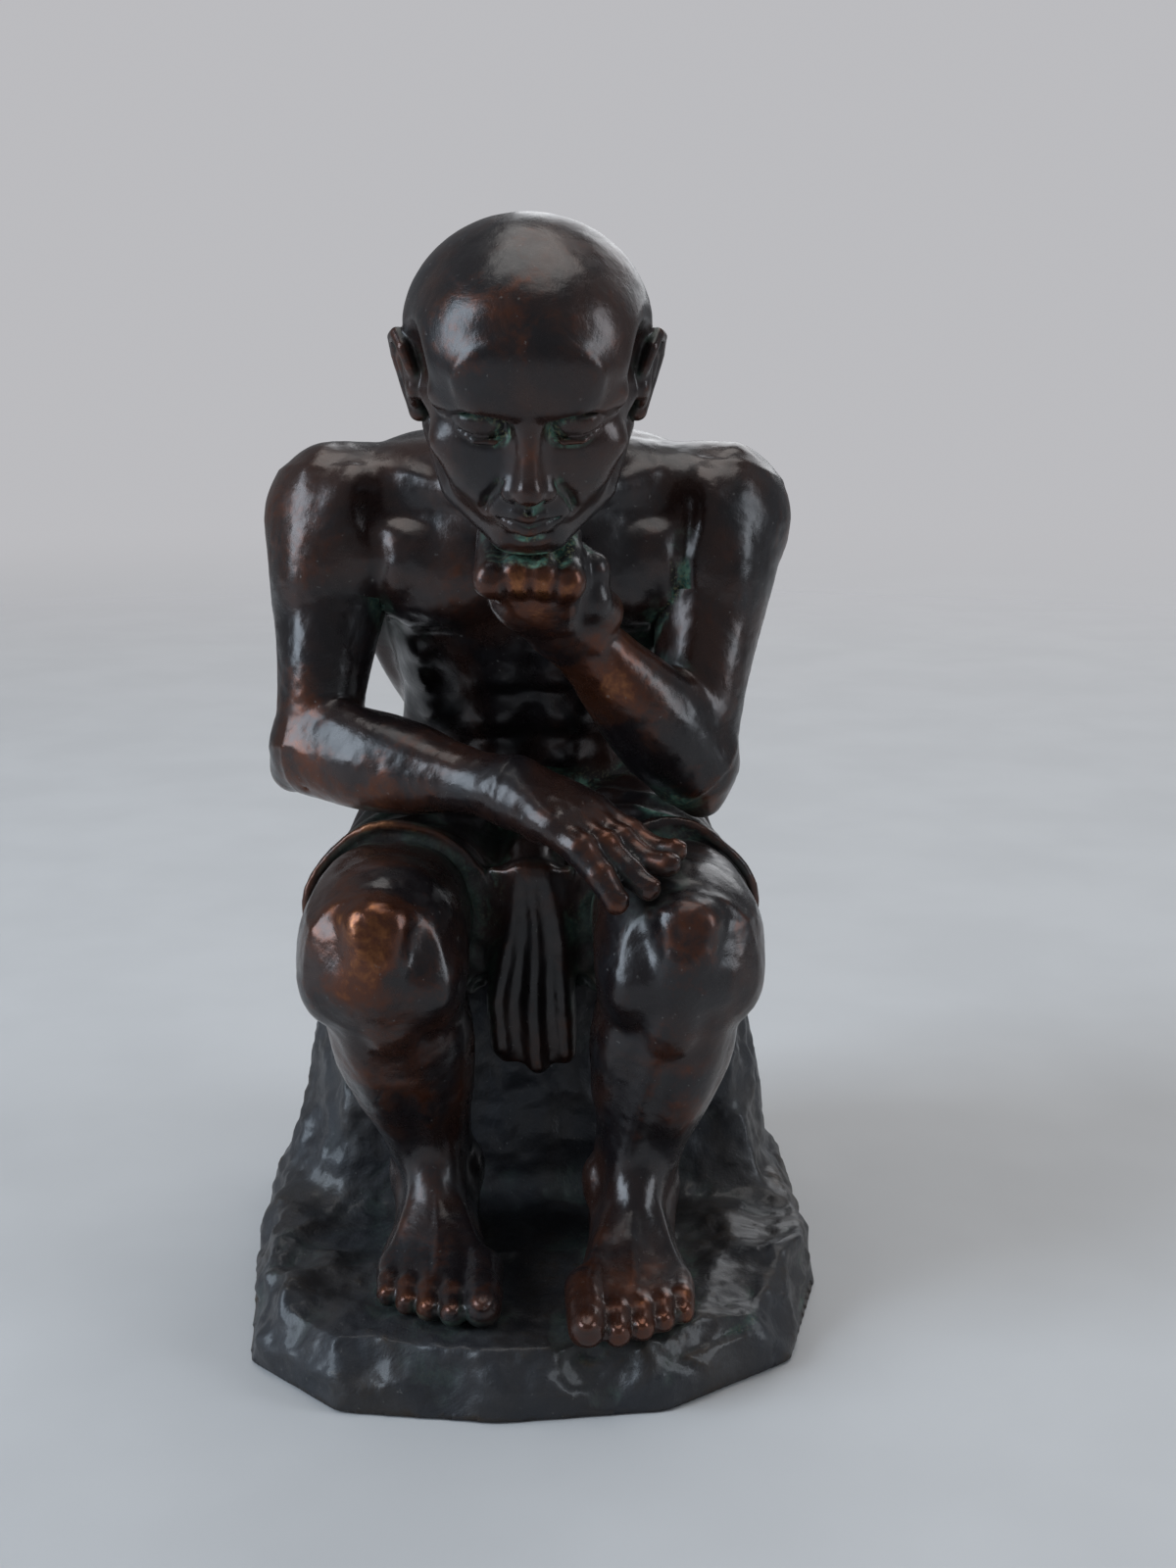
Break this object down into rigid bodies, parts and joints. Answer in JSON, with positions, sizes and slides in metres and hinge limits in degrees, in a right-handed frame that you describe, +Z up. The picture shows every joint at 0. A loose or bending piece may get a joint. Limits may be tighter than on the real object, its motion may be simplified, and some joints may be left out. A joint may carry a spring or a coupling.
{
  "type": "seated thinker statuette",
  "caption": "Small patinated bronze statuette of a seated figure deep in thought, chin on fist, on a hollow rough rock with a felt foot.",
  "frame": {"origin": "centre of the flat underside of the felt, under the middle of the plinth", "axes": "+Z up through the head, the figure looks along -Y, +X is the figure's left side"},
  "size_m": [0.07, 0.084, 0.1273],
  "materials": {
    "figure_bronze": "waxed dark brown patina",
    "cloth_bronze": "waxed dark brown patina",
    "rock_bronze": "dull grey-black patina",
    "bare_brass": "bare, tarnished",
    "steel": "zinc plated",
    "felt": "dark green felt"
  },
  "bodies": {
    "root": {"rock_base": "rock_bronze", "rock_core_plugs": "rock_bronze", "skirt": "cloth_bronze", "torso": "figure_bronze", "head": "figure_bronze", "left_upper_arm": "figure_bronze", "left_forearm": "figure_bronze", "right_upper_arm": "figure_bronze", "right_forearm": "figure_bronze", "left_leg": "figure_bronze", "right_leg": "figure_bronze", "base_plate": "bare_brass", "base_plate_screws": "steel", "felt_pad": "felt", "centre_bolt": "steel", "centre_washer": "steel", "foot_studs": "bare_brass", "foot_nuts": "steel", "neck_dowel": "bare_brass", "chin_dowel": "bare_brass", "left_shoulder_dowel": "bare_brass", "right_shoulder_dowel": "bare_brass", "left_elbow_dowel": "bare_brass", "right_elbow_dowel": "bare_brass", "left_hem_dowel": "bare_brass", "right_hem_dowel": "bare_brass"}
  },
  "joints": []
}
